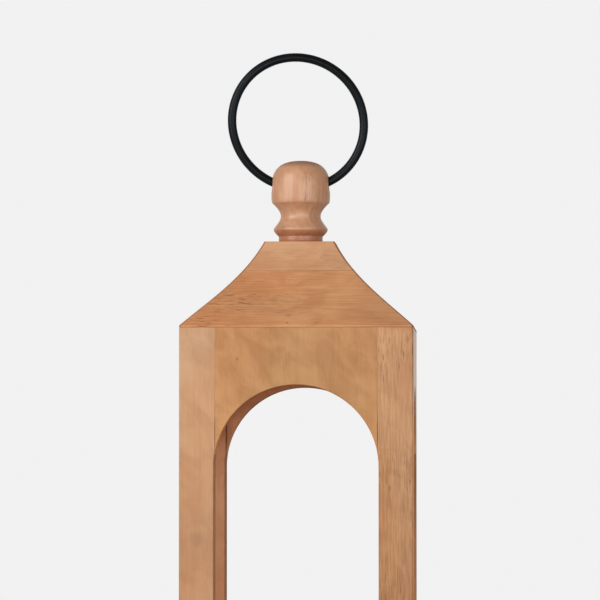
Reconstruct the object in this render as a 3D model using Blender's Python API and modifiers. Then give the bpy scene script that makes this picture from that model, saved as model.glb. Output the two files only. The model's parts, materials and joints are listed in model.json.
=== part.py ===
"""An open wooden lantern that hangs by a steel ring or stands on its base.

Four square posts stand on a base board, with an arched panel and a bottom rail between each pair.
A roof in two stacked blocks sits on them, and a turned finial carries the ring in its cross-hole.
A threaded rod pulls the finial down on the roof, and dowels and screws hold the frame together.
Metres, +Z up. The origin is on the floor, under the middle of the base. The front faces -Y.
"""

import math

import bmesh
import bpy
from mathutils import Matrix, Vector
from mathutils.geometry import interpolate_bezier

GAP = 0.0003  # space between touching pieces
CUTTER_REACH = 0.005  # how far a cutter runs past the face that it opens

# Frame
WIDTH = 0.210  # across the outer faces of the posts
EAVE_Z = 0.390  # underside of the roof
POST_SIDE = 0.032
POST_ROUND = 0.0018  # radius on each post's outermost edge
PANEL_THICK = 0.022
OPENING_WIDE = 0.1478  # cut a little into the posts
OPENING_SPRING_Z = EAVE_Z - 0.1255  # where the arch starts to curve
OPENING_CORNER = 0.006  # radius in the lower corners of an opening
RAIL_HIGH = 0.030
BASE_THICK = 0.016
BASE_REBATE = 0.0015  # how far the frame is let down round the base's raised middle
BASE_ROUND = 0.0025
FOOT_HIGH = 0.003
FOOT_RADIUS = 0.010

# Roof, above the eave
SEAM_RISE = 0.0530  # joint between the two blocks
ROOF_RISE = 0.0804
ROOF_HALF = 0.1050
PLATEAU_HALF = 0.0325
EAVE_INSET = 0.0006  # how far the lowest edge is pulled in, which rounds the eave
ROOF_PULLS = ((0.1024, 0.0100), (0.0551, 0.0367))  # what bends the slope, half width and rise

# Finial, as radius and height above the roof
COLLAR_RADIUS = 0.0202
CAP_RADIUS = 0.0270
FINIAL_RISE = 0.0753
COLLAR_TOP = (COLLAR_RADIUS, 0.0054)
UNDER_PULLS = ((0.0212, 0.0066), (0.0236, 0.0085))  # hollow between the collar and the ridge
RIDGE_LOW = (0.0246, 0.0105)
RIDGE_PULLS = ((0.0251, 0.0117), (0.0249, 0.0126))
RIDGE_TOP = (0.0244, 0.0133)
WAIST_PULLS = ((0.0198, 0.0202), (0.0126, 0.0240))
CAP_LOW = (0.0263, 0.0364)  # lower edge of the domed cap
CAP_EDGE_PULLS = ((0.0268, 0.0374), (CAP_RADIUS, 0.0390))
CAP_SIDE_LOW = (CAP_RADIUS, 0.0425)
DOME_LOW = (CAP_RADIUS, 0.0506)  # where the cap's side starts to curve in
DOME_PULLS = ((CAP_RADIUS, 0.0654), (0.0214, FINIAL_RISE))
HOLE_RISE = 0.0537  # axis of the ring's hole
HOLE_RADIUS = 0.0079

# Ring, a slightly oval round rod
ROD_RADIUS = 0.0040
RING_LONG = 0.0618  # longest half axis of the oval
RING_SHORT = 0.0593
RING_TILT = math.radians(41)  # of the longest axis, down towards +X
RING_CENTRE = (-0.0026, 0.0571)  # X and Z from the hole's axis

# Fasteners
DOWEL_RADIUS = 0.004
DOWEL_IN_POST = 0.012
DOWEL_IN_BOARD = 0.015
ROOF_DOWEL_UP = 0.009
PANEL_DOWEL_DROPS = (0.024, 0.059)  # below the eave, on the front and back
DOWEL_STAGGER = 0.010  # how much lower or higher they are on the two sides
RAIL_DOWEL_RISE = 0.010  # above the rail's lower edge
THREAD_RADIUS = 0.003  # of the rod that holds the finial
THREAD_UP = 0.0005  # its lower end, above the roof's underside
THREAD_IN_FINIAL = 0.037
COUNTERBORE_RADIUS = 0.011
COUNTERBORE_DEEP = 0.0096
NUT_ACROSS = 0.010
NUT_HIGH = 0.005
WASHER_RADIUS = 0.009
WASHER_THICK = 0.0016
SCREW_LONG = 0.045
SCREW_RADIUS = 0.00225
SCREW_HEAD_RADIUS = 0.0042
SCREW_HEAD_HIGH = 0.0036
SCREW_HEAD_RIM = 0.0008  # straight edge of the countersunk head
SCREW_POINT = 0.007

# Smoothness
SHARP_ANGLE = math.radians(35)  # edges that turn by more than this stay sharp
RING_SIDES = 64
ROD_BEVEL = 3  # gives the rod 10 sides
TURNED_STEPS = 32
UNDER_POINTS = 5  # along each curve of the finial's outline
RIDGE_POINTS = 4
WAIST_POINTS = 12
CAP_EDGE_POINTS = 4
DOME_POINTS = 11
ROUND_SIDES = 24
BORE_SIDES = 32
DOWEL_SIDES = 12
SCREW_SIDES = 12
ARCH_STEPS = 32
CORNER_STEPS = 5
EDGE_STEPS = 3
LOWER_SLOPE_STEPS = 24
UPPER_SLOPE_STEPS = 10
SLOPE_SAMPLES = 300
MERGE_WITHIN = 0.00001  # points closer than this become one

# Places worked out from those
HALF = WIDTH / 2
POST_AT = HALF - POST_SIDE / 2
PANEL_AT = HALF - PANEL_THICK / 2
BOARD_HALF = HALF - POST_SIDE - GAP  # half the length of a panel or a rail
BASE_LOW = FOOT_HIGH + GAP
FRAME_LOW = BASE_LOW + BASE_THICK - BASE_REBATE + GAP
FRAME_TOP = EAVE_Z - GAP
RAIL_TOP = FRAME_LOW + RAIL_HIGH
ROOF_TOP = EAVE_Z + ROOF_RISE
FINIAL_LOW = ROOF_TOP + GAP
HOLE_Z = ROOF_TOP + HOLE_RISE
ARCH_RADIUS = OPENING_WIDE / 2

# Quarter turns that carry the front wall, or the front left corner, to the others
WALLS = {"front": 0, "right": 90, "back": 180, "left": 270}
CORNERS = {"front_left": 0, "front_right": 90, "back_right": 180, "back_left": 270}


def clear_scene():
    for obj in list(bpy.data.objects):
        bpy.data.objects.remove(obj)


def new_collection(name):
    collection = bpy.data.collections.new(name)
    bpy.context.scene.collection.children.link(collection)
    return collection


def new_material(name, colour, roughness, metallic=0.0):
    material = bpy.data.materials.new(name)
    material.use_nodes = True
    shader = material.node_tree.nodes["Principled BSDF"]
    shader.inputs["Base Color"].default_value = (*colour, 1.0)
    shader.inputs["Roughness"].default_value = roughness
    shader.inputs["Metallic"].default_value = metallic
    return material


def add_part(name, data, material, location=(0, 0, 0), turn=0.0):
    """A visible piece. turn is its rotation about Z in degrees."""
    obj = bpy.data.objects.new(name, data)
    obj.location = location
    obj.rotation_euler.z = math.radians(turn)
    obj.parent = frame_empty
    if not data.materials:
        data.materials.append(material)
    parts.objects.link(obj)
    return obj


def add_cutter(name, data):
    obj = bpy.data.objects.new(name, data)
    obj.hide_render = True
    obj.display_type = "WIRE"
    cutters.objects.link(obj)
    return obj


def cut(obj, *tools, operation="DIFFERENCE"):
    for tool in tools:
        modifier = obj.modifiers.new(tool.name, "BOOLEAN")
        modifier.operation = operation
        modifier.solver = "EXACT"
        modifier.object = tool


def mesh_from(bm, name, smooth=False):
    mesh = bpy.data.meshes.new(name)
    bm.to_mesh(mesh)
    bm.free()
    if smooth:
        mesh.shade_smooth()
        mesh.set_sharp_from_angle(angle=SHARP_ANGLE)
    return mesh


def add_cylinder(bm, radius, low, high, sides):
    """A cylinder from one point to another."""
    low, high = Vector(low), Vector(high)
    along = high - low
    turn = along.to_track_quat("Z", "Y").to_matrix().to_4x4()
    place = Matrix.Translation((low + high) / 2) @ turn
    bmesh.ops.create_cone(
        bm,
        cap_ends=True,
        segments=sides,
        radius1=radius,
        radius2=radius,
        depth=along.length,
        matrix=place,
    )


def cylinder_mesh(name, radius, low, high, sides):
    bm = bmesh.new()
    add_cylinder(bm, radius, low, high, sides)
    return mesh_from(bm, name, smooth=True)


def box_mesh(name, size, round_radius, rounds_edge):
    """A box about its own middle, with the edges that rounds_edge picks rounded."""
    bm = bmesh.new()
    bmesh.ops.create_cube(bm, size=1.0, matrix=Matrix.Diagonal((*size, 1.0)))
    edges = [edge for edge in bm.edges if rounds_edge(edge)]
    bmesh.ops.bevel(
        bm, geom=edges, offset=round_radius, segments=EDGE_STEPS, profile=0.5, affect="EDGES"
    )
    return mesh_from(bm, name)


def prism_mesh(name, outline, thick, upright=True):
    """A flat outline with a thickness: in X and Z, or in X and Y where it isn't upright."""
    curve = bpy.data.curves.new(name, "CURVE")
    curve.dimensions = "2D"
    curve.fill_mode = "BOTH"
    curve.extrude = thick / 2
    spline = curve.splines.new("POLY")
    spline.points.add(len(outline) - 1)
    for point, (across, up) in zip(spline.points, outline):
        point.co = (across, up, 0, 1)
    spline.use_cyclic_u = True
    sketch = bpy.data.objects.new(name, curve)
    bpy.context.scene.collection.objects.link(sketch)
    graph = bpy.context.evaluated_depsgraph_get()
    mesh = bpy.data.meshes.new_from_object(sketch.evaluated_get(graph))
    bpy.data.objects.remove(sketch)
    bm = bmesh.new()
    bm.from_mesh(mesh)
    bmesh.ops.remove_doubles(bm, verts=bm.verts, dist=MERGE_WITHIN)
    if upright:
        bmesh.ops.rotate(bm, verts=bm.verts, matrix=Matrix.Rotation(math.pi / 2, 3, "X"))
    bm.to_mesh(mesh)
    bm.free()
    return mesh


def turned_mesh(name, profile):
    """The outline of a turned piece, as radius and height from the top down."""
    mesh = bpy.data.meshes.new(name)
    points = [(radius, 0, height) for radius, height in profile]
    edges = [(index, index + 1) for index in range(len(points) - 1)]
    mesh.from_pydata(points, edges, [])
    return mesh


def spin(obj, steps, smooth=True):
    screw = obj.modifiers.new("Turn", "SCREW")
    screw.axis = "Z"
    screw.steps = steps
    screw.render_steps = steps
    screw.use_merge_vertices = True
    screw.merge_threshold = MERGE_WITHIN
    screw.use_smooth_shade = smooth


def arc(centre, radius, start, end, steps):
    """Points on an arc, from one angle in degrees to another."""
    angles = (math.radians(start + (end - start) * step / steps) for step in range(steps + 1))
    return [(centre[0] + radius * math.cos(a), centre[1] + radius * math.sin(a)) for a in angles]


def bezier(start, pull_a, pull_b, end, count):
    points = interpolate_bezier(*(Vector(p) for p in (start, pull_a, pull_b, end)), count)
    return [(point.x, point.y) for point in points]


def wall_point(turn, across, out, z):
    """A point on a wall: across it, out from the middle of the lantern, and up."""
    return Matrix.Rotation(math.radians(turn), 3, "Z") @ Vector((across, -out, z))


def opening_outline():
    """The routed opening of a wall: rounded lower corners, straight sides and a half circle."""
    inner = ARCH_RADIUS - OPENING_CORNER
    lower = RAIL_TOP + OPENING_CORNER
    return (
        arc((0, OPENING_SPRING_Z), ARCH_RADIUS, 0, 180, ARCH_STEPS)
        + arc((-inner, lower), OPENING_CORNER, 180, 270, CORNER_STEPS)
        + arc((inner, lower), OPENING_CORNER, 270, 360, CORNER_STEPS)
    )


def panel_outline():
    """Flat top and ends, arched below. Its lower ends run out to thin points against the posts."""
    tip = math.degrees(math.acos(BOARD_HALF / ARCH_RADIUS))
    arch = arc((0, OPENING_SPRING_Z), ARCH_RADIUS, 180 - tip, tip, ARCH_STEPS)
    return [(BOARD_HALF, FRAME_TOP), (-BOARD_HALF, FRAME_TOP), *arch]


def rail_outline():
    """A board whose upper edge curves up at each end, into the corners of the opening."""
    inner = ARCH_RADIUS - OPENING_CORNER
    end = math.degrees(math.acos((BOARD_HALF - inner) / OPENING_CORNER))
    centre_z = RAIL_TOP + OPENING_CORNER
    right = arc((inner, centre_z), OPENING_CORNER, -end, -90, CORNER_STEPS)
    left = [(-across, up) for across, up in reversed(right)]
    return [(-BOARD_HALF, FRAME_LOW), (BOARD_HALF, FRAME_LOW), *right, *left]


def make_openings():
    """The two cutters for the arched openings, one through front and back, one through the sides."""
    mesh = prism_mesh("opening", opening_outline(), WIDTH + 2 * CUTTER_REACH)
    through = add_cutter("opening_front_back", mesh)
    across = add_cutter("opening_left_right", mesh)
    across.rotation_euler.z = math.pi / 2
    return through, across


def field_outline():
    """Plan of the base's raised middle, which fills the floor between the posts and the rails."""
    wide = HALF - PANEL_THICK - GAP
    narrow = BOARD_HALF
    quarter = [(narrow, -wide), (narrow, -narrow), (wide, -narrow)]
    turns = (Matrix.Rotation(math.radians(turn), 2) for turn in WALLS.values())
    return [tuple(turn @ Vector(point)) for turn in turns for point in quarter]


def make_base():
    """A board with a raised middle that locates the frame, on four foot pads."""
    ledge = BASE_THICK - BASE_REBATE
    mesh = box_mesh("base_board", (WIDTH, WIDTH, ledge), BASE_ROUND, edge_is_upper)
    board = add_part("base_board", mesh, wood, (0, 0, BASE_LOW + ledge / 2))
    thick = BASE_THICK / 2
    field = add_cutter("base_field", prism_mesh("base_field", field_outline(), thick, upright=False))
    field.location.z = BASE_LOW + BASE_THICK - thick / 2
    cut(board, field, operation="UNION")
    pad = cylinder_mesh("foot_pad", FOOT_RADIUS, (0, 0, 0), (0, 0, FOOT_HIGH), ROUND_SIDES)
    for corner, turn in CORNERS.items():
        place = wall_point(turn, -POST_AT, POST_AT, 0)
        add_part("foot_pad_" + corner, pad, felt, place)
    return board


def edge_is_upper(edge):
    """True for a box's upper edges and its upright corners."""
    return any(vert.co.z > 0 for vert in edge.verts)


def edge_is_corner(edge):
    """True for the upright edge on the -X, -Y side."""
    return all(vert.co.x < 0 and vert.co.y < 0 for vert in edge.verts)


def make_posts():
    size = (POST_SIDE, POST_SIDE, FRAME_TOP - FRAME_LOW)
    mesh = box_mesh("post", size, POST_ROUND, edge_is_corner)
    middle = (FRAME_TOP + FRAME_LOW) / 2
    return [
        add_part("post_" + corner, mesh, wood, wall_point(turn, -POST_AT, POST_AT, middle), turn)
        for corner, turn in CORNERS.items()
    ]


def make_boards():
    """The arched panels and the bottom rails."""
    panel = prism_mesh("arch_panel", panel_outline(), PANEL_THICK)
    rail = prism_mesh("bottom_rail", rail_outline(), PANEL_THICK)
    boards = []
    for wall, turn in WALLS.items():
        place = wall_point(turn, 0, PANEL_AT, 0)
        boards.append(add_part("arch_panel_" + wall, panel, wood, place, turn))
        boards.append(add_part("bottom_rail_" + wall, rail, wood, place, turn))
    return boards


def make_dowels():
    """Every dowel, and one cutter that holds the bore of each."""
    runs = {}
    for wall, turn in WALLS.items():
        lower = 0 if wall in ("front", "back") else DOWEL_STAGGER
        heights = [EAVE_Z - drop - lower for drop in PANEL_DOWEL_DROPS]
        heights.append(FRAME_LOW + RAIL_DOWEL_RISE + lower)
        names = ["panel_dowel_" + wall] * len(PANEL_DOWEL_DROPS) + ["rail_dowel_" + wall]
        for number, (name, z) in enumerate(zip(names, heights), 1):
            for side, end in ((-1, "a"), (1, "b")):
                inner = side * (BOARD_HALF - DOWEL_IN_BOARD)
                outer = side * (BOARD_HALF + GAP + DOWEL_IN_POST)
                ends = [wall_point(turn, across, PANEL_AT, z) for across in (inner, outer)]
                runs[f"{name}_{number}{end}"] = ends
    for corner, turn in CORNERS.items():
        low = wall_point(turn, -POST_AT, POST_AT, EAVE_Z - DOWEL_IN_POST)
        runs["roof_dowel_" + corner] = [low, low + Vector((0, 0, DOWEL_IN_POST + ROOF_DOWEL_UP))]
    bores = bmesh.new()
    for name, (start, end) in runs.items():
        slack = (end - start).normalized() * GAP
        middle = (start + end) / 2
        mesh = cylinder_mesh(name, DOWEL_RADIUS, start - middle, end - middle, DOWEL_SIDES)
        add_part(name, mesh, pale_wood, middle)
        add_cylinder(bores, DOWEL_RADIUS + GAP, start - slack, end + slack, DOWEL_SIDES)
    return add_cutter("dowel_bores", mesh_from(bores, "dowel_bores"))


def screw_profile(slack, low):
    """A countersunk wood screw with its head down, or the bore that holds it with some slack."""
    head = SCREW_HEAD_RADIUS + slack
    shank = SCREW_RADIUS + slack
    top = SCREW_LONG + slack
    return [
        (0, top),
        (shank, top - SCREW_POINT),
        (shank, SCREW_HEAD_HIGH),
        (head, SCREW_HEAD_RIM + 2 * slack),
        (head, low),
        (0, low),
    ]


def make_base_screws():
    mesh = turned_mesh("base_screw", screw_profile(0, 0))
    bore = turned_mesh("base_screw_bore", screw_profile(GAP, -CUTTER_REACH))
    bores = []
    for corner, turn in CORNERS.items():
        place = wall_point(turn, -POST_AT, POST_AT, BASE_LOW + GAP)
        screw = add_part("base_screw_" + corner, mesh, steel, place)
        spin(screw, SCREW_SIDES)
        cutter = add_cutter("base_screw_bore_" + corner, bore)
        cutter.location = place
        spin(cutter, SCREW_SIDES)
        bores.append(cutter)
    return bores


def roof_half_at(rise):
    """Half the roof's width at a height above the eave."""
    slope = bezier((ROOF_HALF, 0), *ROOF_PULLS, (PLATEAU_HALF, ROOF_RISE), SLOPE_SAMPLES)
    for (half, low), (next_half, high) in zip(slope, slope[1:]):
        if low <= rise <= high:
            return half + (next_half - half) * (rise - low) / (high - low)
    return PLATEAU_HALF


def roof_block(name, low, high, steps, low_inset):
    """One block of the roof, between two heights: an outline turned in four steps."""
    rises = [high + (low - high) * step / steps for step in range(steps + 1)]
    slope = [(roof_half_at(rise), rise) for rise in rises]
    foot = slope.pop()
    slope.append((foot[0] - low_inset, foot[1]))
    corner = math.sqrt(2)  # from half a side to half a diagonal
    outline = [(0, high), *((half * corner, rise) for half, rise in slope), (0, low)]
    block = add_part(name, turned_mesh(name, outline), wood, (0, 0, EAVE_Z), 45)
    spin(block, 4, smooth=False)
    return block


def make_roof():
    lower = roof_block("roof_lower_block", 0, SEAM_RISE, LOWER_SLOPE_STEPS, EAVE_INSET)
    upper = roof_block("roof_upper_block", SEAM_RISE + GAP, ROOF_RISE, UPPER_SLOPE_STEPS, 0)
    return lower, upper


def finial_outline():
    """Collar, sharp ridge, hollow waist and domed cap, from the top down."""
    foot = [(0, 0), (COLLAR_RADIUS, 0)]
    under = bezier(COLLAR_TOP, *UNDER_PULLS, RIDGE_LOW, UNDER_POINTS)
    ridge = bezier(RIDGE_LOW, *RIDGE_PULLS, RIDGE_TOP, RIDGE_POINTS)
    waist = bezier(RIDGE_TOP, *WAIST_PULLS, CAP_LOW, WAIST_POINTS)
    cap_edge = bezier(CAP_LOW, *CAP_EDGE_PULLS, CAP_SIDE_LOW, CAP_EDGE_POINTS)
    dome = bezier(DOME_LOW, *DOME_PULLS, (0, FINIAL_RISE), DOME_POINTS)
    outline = foot + under + ridge[1:] + waist[1:] + cap_edge[1:] + dome
    return outline[::-1]


def make_finial():
    finial = add_part("finial", turned_mesh("finial", finial_outline()), wood, (0, 0, FINIAL_LOW))
    spin(finial, TURNED_STEPS)
    reach = CAP_RADIUS + CUTTER_REACH
    ends = (-reach, 0, HOLE_Z), (reach, 0, HOLE_Z)
    hole = add_cutter("ring_hole", cylinder_mesh("ring_hole", HOLE_RADIUS, *ends, BORE_SIDES))
    cut(finial, hole)
    return finial


def make_rod():
    """The rod from the roof's underside into the finial, with its washer and nut, and its bore."""
    low = EAVE_Z + THREAD_UP
    high = ROOF_TOP + THREAD_IN_FINIAL
    rod = cylinder_mesh("finial_rod", THREAD_RADIUS, (0, 0, low), (0, 0, high), SCREW_SIDES)
    add_part("finial_rod", rod, steel)
    ends = (0, 0, EAVE_Z - CUTTER_REACH), (0, 0, high + GAP)
    bore = add_cutter("rod_bore", cylinder_mesh("rod_bore", THREAD_RADIUS + GAP, *ends, SCREW_SIDES))
    washer_top = EAVE_Z + COUNTERBORE_DEEP - GAP
    washer_low = washer_top - WASHER_THICK
    ends = (0, 0, washer_low), (0, 0, washer_top)
    washer_mesh = cylinder_mesh("finial_washer", WASHER_RADIUS, *ends, ROUND_SIDES)
    washer = add_part("finial_washer", washer_mesh, steel)
    nut_top = washer_low - GAP
    ends = (0, 0, nut_top - NUT_HIGH), (0, 0, nut_top)
    nut_mesh = cylinder_mesh("finial_nut", NUT_ACROSS / math.sqrt(3), *ends, 6)
    nut = add_part("finial_nut", nut_mesh, steel)
    cut(washer, bore)
    cut(nut, bore)
    return bore


def make_counterbore():
    """The recess under the roof that takes the washer and the nut."""
    ends = (0, 0, EAVE_Z - CUTTER_REACH), (0, 0, EAVE_Z + COUNTERBORE_DEEP)
    mesh = cylinder_mesh("counterbore", COUNTERBORE_RADIUS, *ends, ROUND_SIDES)
    return add_cutter("counterbore", mesh)


def make_ring():
    """A closed oval of round rod. Its object's origin is on the hole's axis, which it swings about."""
    curve = bpy.data.curves.new("ring_handle", "CURVE")
    curve.dimensions = "3D"
    curve.bevel_depth = ROD_RADIUS
    curve.bevel_resolution = ROD_BEVEL
    curve.use_fill_caps = True
    spline = curve.splines.new("POLY")
    spline.points.add(RING_SIDES - 1)
    for index, point in enumerate(spline.points):
        angle = 2 * math.pi * index / RING_SIDES
        along = RING_LONG * math.cos(angle)
        across = RING_SHORT * math.sin(angle)
        x = RING_CENTRE[0] + along * math.cos(RING_TILT) + across * math.sin(RING_TILT)
        z = RING_CENTRE[1] - along * math.sin(RING_TILT) + across * math.cos(RING_TILT)
        point.co = (x, 0, z, 1)
    spline.use_cyclic_u = True
    ring = add_part("ring_handle", curve, black_steel)
    ring.parent = ring_empty
    ring_empty.location = (0, 0, HOLE_Z)


def make_empty(name):
    empty = bpy.data.objects.new(name, None)
    empty.empty_display_size = 0.03
    parts.objects.link(empty)
    return empty


clear_scene()
parts = new_collection("hanging_lantern")
cutters = new_collection("cutters")
frame_empty = make_empty("frame")
ring_empty = make_empty("ring_pivot")

wood = new_material("oiled_wood", (0.55, 0.27, 0.13), 0.48)
pale_wood = new_material("dowel_wood", (0.62, 0.42, 0.24), 0.55)
steel = new_material("zinc_steel", (0.55, 0.55, 0.56), 0.35, 1.0)
black_steel = new_material("black_steel", (0.012, 0.012, 0.013), 0.38, 0.0)
felt = new_material("dark_felt", (0.05, 0.045, 0.04), 0.95)

openings = make_openings()
base_board = make_base()
posts = make_posts()
boards = make_boards()
roof_blocks = make_roof()
finial = make_finial()
dowel_bores = make_dowels()
screw_bores = make_base_screws()
rod_bore = make_rod()
counterbore = make_counterbore()
make_ring()

for post, screw_bore in zip(posts, screw_bores):
    cut(post, dowel_bores, screw_bore, *openings)
    cut(base_board, screw_bore)
for board in boards:
    cut(board, dowel_bores)
cut(roof_blocks[0], dowel_bores, counterbore, rod_bore)
cut(roof_blocks[1], rod_bore)
cut(finial, rod_bore)
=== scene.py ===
import json
import math

import bmesh
import bpy
from mathutils import Matrix, Vector
from mathutils.geometry import interpolate_bezier


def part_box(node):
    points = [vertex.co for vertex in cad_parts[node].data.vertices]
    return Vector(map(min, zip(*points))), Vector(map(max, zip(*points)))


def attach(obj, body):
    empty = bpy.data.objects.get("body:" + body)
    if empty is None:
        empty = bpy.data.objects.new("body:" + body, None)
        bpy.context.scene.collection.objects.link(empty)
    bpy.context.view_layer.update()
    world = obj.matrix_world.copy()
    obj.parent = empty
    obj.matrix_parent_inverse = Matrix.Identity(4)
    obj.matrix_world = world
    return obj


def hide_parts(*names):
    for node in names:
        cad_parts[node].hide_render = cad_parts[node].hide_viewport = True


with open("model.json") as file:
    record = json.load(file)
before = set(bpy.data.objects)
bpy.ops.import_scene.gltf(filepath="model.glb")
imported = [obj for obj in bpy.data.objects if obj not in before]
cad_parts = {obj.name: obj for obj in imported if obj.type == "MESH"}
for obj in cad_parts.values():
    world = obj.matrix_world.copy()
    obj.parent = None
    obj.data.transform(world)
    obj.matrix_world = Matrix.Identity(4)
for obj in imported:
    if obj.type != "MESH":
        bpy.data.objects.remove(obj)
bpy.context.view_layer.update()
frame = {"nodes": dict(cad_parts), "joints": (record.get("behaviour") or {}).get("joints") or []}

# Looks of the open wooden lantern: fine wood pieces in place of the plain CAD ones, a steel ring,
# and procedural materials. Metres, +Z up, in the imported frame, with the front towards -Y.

# ---------------------------------------------------------------- sizes

GLUE = 0.00002  # left open in a tight joint
TIP_GAP = 0.0004  # left open where a panel's thin tips stand off the posts
TIP_LONG = 0.036  # height of the stretch where they do
ARCH_RADIUS = 0.0739
ARCH_DROP = 0.1255  # from the eave down to where the arch starts to curve
OPENING_CORNER = 0.006  # radius in an opening's lower corners
OUTER_ROUND = 0.0016  # a post's outermost edge
RIM_ROUND = 0.0010  # the routed edge round an opening
INNER_ROUND = 0.0012  # a post's inmost edge
JOINT_ROUND = 0.00003  # an edge beside a glued joint, or under the base
SEAM_ROUND = 0.00022  # an edge beside the roof's seam
BASE_ROUND = 0.0025
BASE_EDGE = 0.0006  # round on the raised field of the base
HIP_ROUND = 0.0022
PLATEAU_ROUND = 0.0009
EAVE_ROUND = 0.0007
EAVE_FACE = 0.0018  # upright face under the slope

ROOF_PULLS = ((0.0791, 0.0256), (0.0509, 0.0459))  # bends of the roof's slope, half width and rise
ROOF_HALF = 0.1050
PLATEAU_HALF = 0.0325

COLLAR_RADIUS = 0.0202
CAP_RADIUS = 0.0270
HOLE_RADIUS = 0.0079
COLLAR_LOW = -0.0002  # closes most of the CAD's gap under the finial
BORE_SLACK = 0.0003
SCREW_SHANK = 0.0026
SCREW_HEAD = 0.0040  # length of the recess for a countersunk head
NUT_ROOM = 0.0020  # round the washer, in the recess under the roof

RING_LONG = 0.0618  # longest half axis of the oval
RING_SHORT = 0.0593
RING_TILT = math.radians(41)

# How finely shapes are cut up
RIM_STEPS = 5  # round a quarter turn
CORNER_STEPS = 5
EAVE_STEPS = 5
FINE_STEPS = 4
BASE_STEPS = 7
END_CUTS = 40  # in the tall edges at a panel's ends
ARCH_STEPS = 120
SLOPE_POINTS = 90
BORE_SIDES = 24
RECESS_SIDES = 48
HOLE_SIDES = 64
FINIAL_SIDES = 96
ROD_SIDES = 24
RING_SECTIONS = 224
FLOOR_SIDES = 96
FOOT_STEP = 0.006  # between a post's sections beside a rail
PLAIN_STEP = 0.008
ARCH_STEP = 0.0008
CORNER_STEP = 0.0004  # round an opening's lower corners
RAIL_STEP = 0.012
SECTION_MARGIN = 0.001  # past a post's end, or past a curve, before the plain sections
CORNER_REACH = 0.003  # a post's sections are fine from this far below an opening's lower edge
ARCH_REACH = 0.021  # and over this height above the place where the arch starts to curve

# The sharpest angle between faces that still look like one smooth surface, in degrees
FINE_SHARP = 32
CAD_SHARP = 35
NEVER_SHARP = 180

# Rounded edges on nodes carried over from the CAD
STEEL_EDGE = 0.0003
PAD_EDGE = 0.0006
EDGE_SEGMENTS = 3
EDGE_ANGLE = math.radians(40)

# Places read from the frame
post_low, post_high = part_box("post_front_left")
panel_low, panel_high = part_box("arch_panel_front")
rail_low, rail_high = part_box("bottom_rail_front")
base_low, base_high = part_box("base_board")
lower_low, lower_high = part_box("roof_lower_block")
upper_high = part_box("roof_upper_block")[1]
finial_low, finial_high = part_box("finial")
ring_low, ring_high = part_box("ring_handle")
HALF = -post_low.x
INNER = -post_high.x  # from the middle to a post's inner face
BOARD_HALF = panel_high.x
PANEL_THICK = panel_high.y - panel_low.y
EAVE_Z = lower_low.z
ROOF_RISE = upper_high.z - EAVE_Z
SEAM_RISE = lower_high.z - EAVE_Z
FINIAL_RISE = finial_high.z - finial_low.z
SPRING_Z = EAVE_Z - ARCH_DROP
FIT_HALF = INNER - GLUE  # half the length of a panel or rail, tight between the posts
FIT_TOP = EAVE_Z - GLUE
CORNER_X = ARCH_RADIUS - OPENING_CORNER
CORNER_Z = rail_high.z + math.sqrt(OPENING_CORNER**2 - (BOARD_HALF - CORNER_X) ** 2)
RAIL_TOP = CORNER_Z - OPENING_CORNER
HINGE = Vector(frame["joints"][0]["pos_m"])
RING_CENTRE = HINGE + Vector((-0.0026, 0, 0.0571))
ROD_RADIUS = (ring_high.y - ring_low.y) / 2

# Heights above the CAD finial's foot of the points on the fine one's straight stretches
FOOT_ROUND = 0.0003
COLLAR_MIDDLE = 0.0030
CAP_MIDDLE = 0.0460

# The finial's curves, as radius and height above that foot: an end, two bends and the other end
UNDER_CURVE = (COLLAR_RADIUS, 0.0054), (0.0212, 0.0066), (0.0236, 0.0085), (0.0246, 0.0105)
RIDGE_CURVE = (0.0246, 0.0105), (0.0250, 0.0112), (0.0250, 0.0122), (0.0245, 0.0130)
WAIST_CURVE = (0.0245, 0.0130), (0.0198, 0.0202), (0.0126, 0.0240), (0.0263, 0.0364)
CAP_EDGE_CURVE = (0.0263, 0.0364), (0.0268, 0.0374), (CAP_RADIUS, 0.0390), (CAP_RADIUS, 0.0425)
DOME_CURVE = (CAP_RADIUS, 0.0506), (CAP_RADIUS, 0.0654), (0.0214, FINIAL_RISE), (0.0004, FINIAL_RISE)
UNDER_POINTS, RIDGE_POINTS, WAIST_POINTS, CAP_EDGE_POINTS, DOME_POINTS = 12, 10, 40, 10, 44

WALLS = {"front": 0, "right": 90, "back": 180, "left": 270}
CORNERS = {"front_left": 0, "front_right": 90, "back_right": 180, "back_left": 270}
DOWELS = [name for name in frame["nodes"] if "dowel" in name]
SCREWS = [name for name in frame["nodes"] if name.startswith("base_screw")]
FASTENERS = [*DOWELS, *SCREWS, "finial_rod"]


# ---------------------------------------------------------------- mesh tools


def mesh_object(name, bm, turn=0.0):
    """An object from a bmesh, turned about Z by some degrees, with its origin kept at zero."""
    bmesh.ops.rotate(bm, verts=bm.verts, matrix=Matrix.Rotation(math.radians(turn), 3, "Z"))
    bmesh.ops.recalc_face_normals(bm, faces=bm.faces)
    mesh = bpy.data.meshes.new(name)
    bm.to_mesh(mesh)
    bm.free()
    obj = bpy.data.objects.new(name, mesh)
    bpy.context.scene.collection.objects.link(obj)
    return obj


def soften(obj, angle=FINE_SHARP):
    obj.data.shade_smooth()
    obj.data.set_sharp_from_angle(angle=math.radians(angle))


def loft(rings, capped=True, looped=False):
    """A bmesh skin through rings of points, all with the same number of points."""
    bm = bmesh.new()
    rows = [[bm.verts.new(point) for point in ring] for ring in rings]
    pairs = list(zip(rows, rows[1:]))
    if looped:
        pairs.append((rows[-1], rows[0]))
    for low, high in pairs:
        for index in range(len(low)):
            after = (index + 1) % len(low)
            bm.faces.new((low[index], low[after], high[after], high[index]))
    if capped:
        bm.faces.new(rows[0])
        bm.faces.new(rows[-1])
    return bm


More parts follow.
